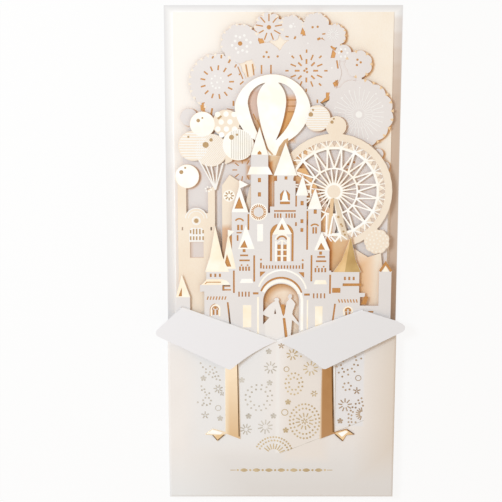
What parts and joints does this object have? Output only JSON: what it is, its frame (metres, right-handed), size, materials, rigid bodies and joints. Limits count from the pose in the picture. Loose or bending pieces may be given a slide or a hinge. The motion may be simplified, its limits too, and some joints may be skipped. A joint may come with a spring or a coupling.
{
  "type": "pocket wedding invitation",
  "caption": "Slim card pocket with folded-out flaps and gold ribbon strips, holding a cream insert with layered laser-cut castle, park and flower sheets.",
  "frame": {"origin": "middle of the underside of the invitation lying on its back, at table height", "axes": "+X to the right of the card, +Y to its top edge, +Z out of its front"},
  "size_m": [0.1169, 0.235, 0.0106],
  "materials": {
    "pearl_card": "pearlescent",
    "cream_card": "matte",
    "lilac_card": "pearlescent",
    "ivory_card": "pearlescent",
    "white_card": "pearlescent",
    "foam": "matte",
    "gold_foil": "metallic foil"
  },
  "bodies": {
    "root": {"pocket_folder": "pearl_card", "insert_card": "cream_card", "rosette_pads": "foam", "rosette_sheet": "lilac_card", "park_pads": "foam", "park_sheet": "ivory_card", "castle_pads": "foam", "castle_sheet": "white_card", "ribbon_left": "gold_foil", "ribbon_right": "gold_foil"}
  },
  "joints": []
}
